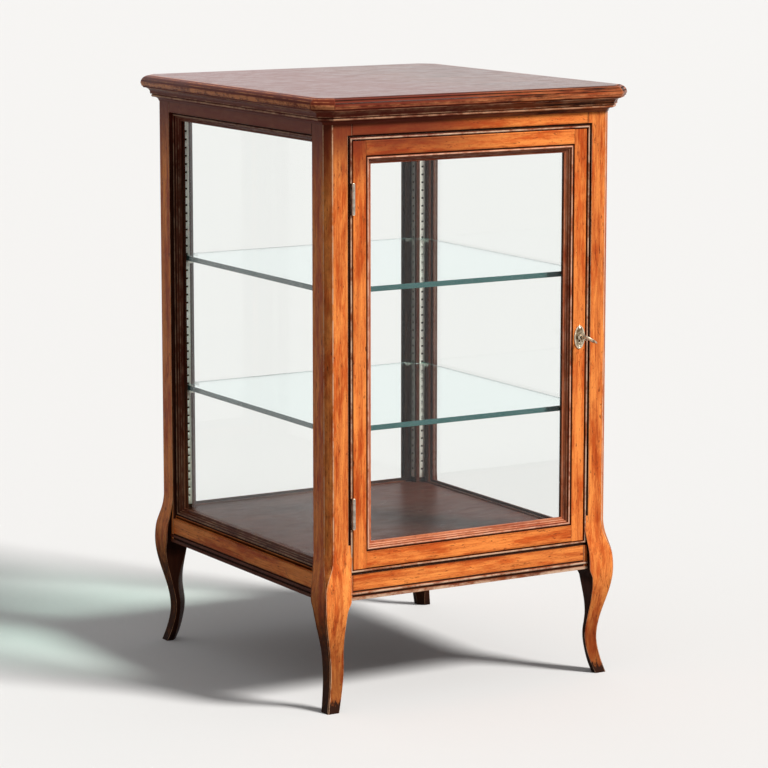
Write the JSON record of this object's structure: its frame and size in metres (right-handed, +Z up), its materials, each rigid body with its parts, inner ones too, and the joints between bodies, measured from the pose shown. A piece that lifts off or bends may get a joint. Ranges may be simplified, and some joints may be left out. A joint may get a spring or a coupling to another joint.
{
  "type": "glazed display cabinet",
  "caption": "Glazed display cabinet on cabriole legs, with canted posts, a moulded top, glass sides and back, glass shelves on slotted strips and a hinged door with lock and key.",
  "frame": {"origin": "on the floor, in the middle of the case's width and depth", "axes": "+Z up, the door faces -Y, the door's hinges are on its -X side"},
  "size_m": [0.5436, 0.5983, 0.9],
  "materials": {
    "wood_case": "polished",
    "wood_door": "polished",
    "wood_top": "polished",
    "wood_mouldings": "polished",
    "wood_inside": "satin",
    "pane_glass": "clear, 4 mm",
    "shelf_glass": "clear with green polished edges, 8 mm",
    "strip_metal": "brushed",
    "hinge_metal": "dulled",
    "escutcheon_metal": "polished",
    "key_metal": "polished",
    "brass": "plain",
    "steel": "plain"
  },
  "bodies": {
    "case": {"post_front_left": "wood_case", "post_front_right": "wood_case", "post_rear_left": "wood_case", "post_rear_right": "wood_case", "frieze_rail_front": "wood_case", "frieze_rail_left": "wood_case", "frieze_rail_right": "wood_case", "frieze_rail_rear": "wood_case", "apron_rail_front": "wood_case", "apron_rail_left": "wood_case", "apron_rail_right": "wood_case", "apron_rail_rear": "wood_case", "apron_moulding": "wood_mouldings", "opening_bead": "wood_mouldings", "glazing_moulding_left": "wood_mouldings", "glazing_moulding_right": "wood_mouldings", "glazing_moulding_rear": "wood_mouldings", "pane_left": "pane_glass", "pane_right": "pane_glass", "pane_rear": "pane_glass", "glazing_bead_left": "wood_inside", "glazing_bead_right": "wood_inside", "glazing_bead_rear": "wood_inside", "top_board": "wood_top", "cornice_moulding": "wood_mouldings", "necking_moulding": "wood_mouldings", "top_cleats": "wood_inside", "top_screws": "steel", "bottom_board": "wood_inside", "bottom_cleats": "wood_inside", "bottom_screws": "steel", "door_stop": "wood_inside", "shelf_strips_front": "strip_metal", "shelf_strips_rear": "strip_metal", "shelf_clips_lower": "strip_metal", "shelf_clips_upper": "strip_metal", "shelf_lower": "shelf_glass", "shelf_upper": "shelf_glass", "hinge_post_leaves": "hinge_metal", "hinge_pins": "hinge_metal", "hinge_post_screws": "steel", "strike_plate": "brass", "strike_screws": "steel"},
    "door": {"door_stile_left": "wood_door", "door_stile_right": "wood_door", "door_rail_top": "wood_door", "door_rail_bottom": "wood_door", "door_moulding": "wood_mouldings", "door_pane": "pane_glass", "door_glazing_bead": "wood_inside", "hinge_door_leaves": "hinge_metal", "hinge_door_screws": "steel", "lock_case": "brass", "lock_cap": "brass", "lock_screws": "steel", "escutcheon": "escutcheon_metal", "escutcheon_pins": "escutcheon_metal"},
    "bolt": {"lock_bolt": "steel"},
    "key": {"key": "key_metal"}
  },
  "joints": [
    {"name": "door_hinge", "type": "hinge", "parent": "case", "child": "door", "pos_m": [-0.20225, -0.2699, 0.52375], "axis": [0, 0, -1], "range_deg": [0, 170]},
    {"name": "key_turn", "type": "hinge", "parent": "door", "child": "key", "pos_m": [0.1906, -0.267, 0.52375], "axis": [0, 1, 0], "range_deg": [0, 118]},
    {"name": "bolt_slide", "type": "slide", "parent": "door", "child": "bolt", "axis": [1, 0, 0], "range_m": [0, 0.0071]}
  ],
  "couplings": [
    {"joint": "bolt_slide", "follows": "key_turn", "m_per_rad": 0.0034}
  ]
}
